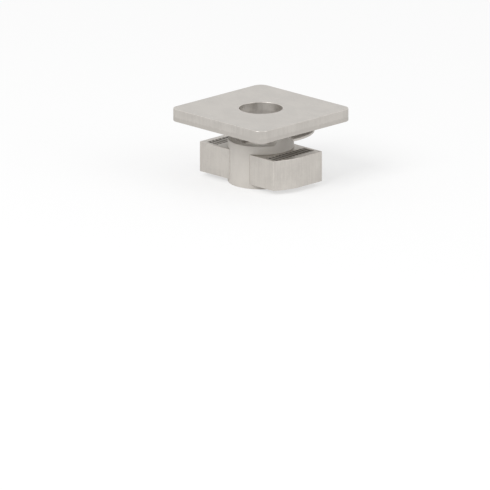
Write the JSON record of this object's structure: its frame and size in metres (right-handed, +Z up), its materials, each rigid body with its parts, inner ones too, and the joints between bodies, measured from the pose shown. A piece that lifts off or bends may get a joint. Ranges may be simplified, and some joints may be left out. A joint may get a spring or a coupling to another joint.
{
  "type": "channel nut",
  "caption": "Pre-assembled channel nut: square plate with a bolt hole, moulded retainer with spring arms, and a toothed wing nut that turns under the channel's lips.",
  "frame": {"origin": "centre of the sleeve's flat underside, on the bolt axis", "axes": "+X along the wings of the nut, +Z up along the bolt axis, from the wing nut to the square plate, +Y completes a right-handed set"},
  "size_m": [0.04, 0.04, 0.0233],
  "materials": {
    "plate_steel": "satin",
    "nut_steel": "satin",
    "retainer_plastic": "satin"
  },
  "bodies": {
    "root": {"square_plate": "plate_steel", "wing_nut": "nut_steel", "retainer": "retainer_plastic"}
  },
  "joints": []
}
